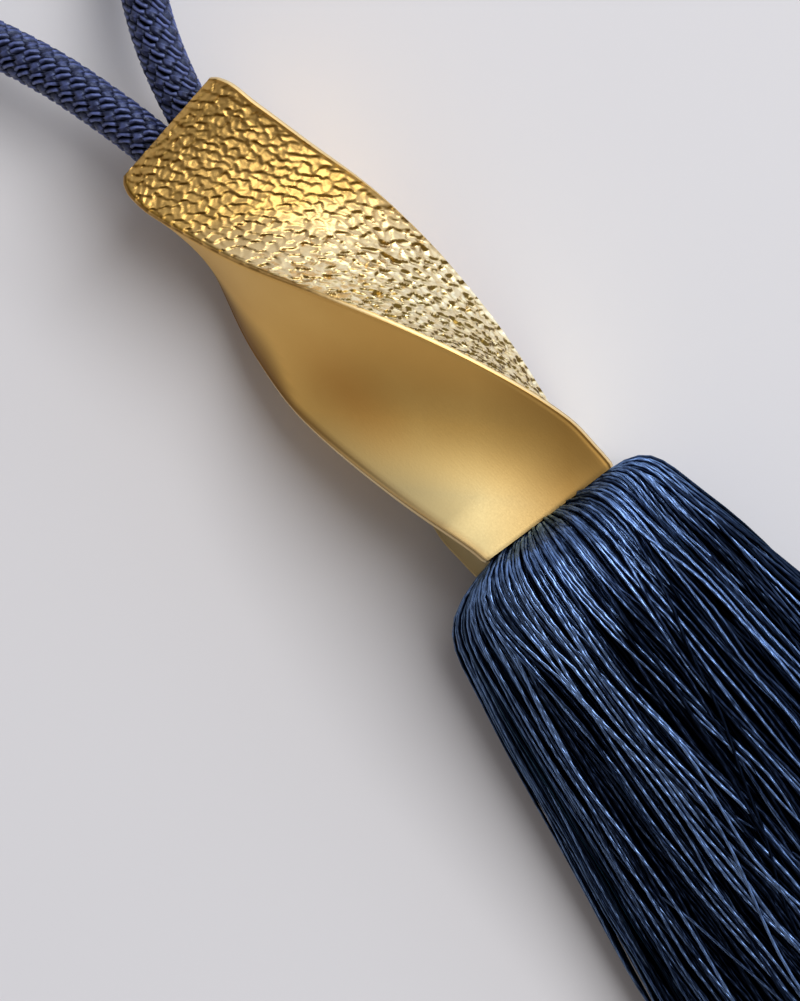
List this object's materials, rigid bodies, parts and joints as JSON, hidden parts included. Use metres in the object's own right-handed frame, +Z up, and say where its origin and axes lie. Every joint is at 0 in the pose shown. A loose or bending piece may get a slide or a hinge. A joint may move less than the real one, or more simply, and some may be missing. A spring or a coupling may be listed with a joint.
{
  "type": "curtain tieback tassel",
  "caption": "Curtain tieback: a looped rope fixed in a twisted cast metal head, from whose other end a skirt of twisted threads fans out.",
  "frame": {"origin": "on the surface that it lies on, under the middle of the head and skirt", "axes": "+X along the head's axis, from the rope to the skirt; +Z up from the surface"},
  "size_m": [0.5251, 0.1295, 0.0488],
  "materials": {
    "head_metal": "satin gold with one hammered face and one fine brushed face",
    "rope_yarn": "matte braided cord, dark slate navy",
    "skirt_thread": "lustrous twisted two-ply thread, deep navy"
  },
  "bodies": {
    "root": {"head": "head_metal", "rope": "rope_yarn", "skirt": "skirt_thread"}
  },
  "joints": []
}
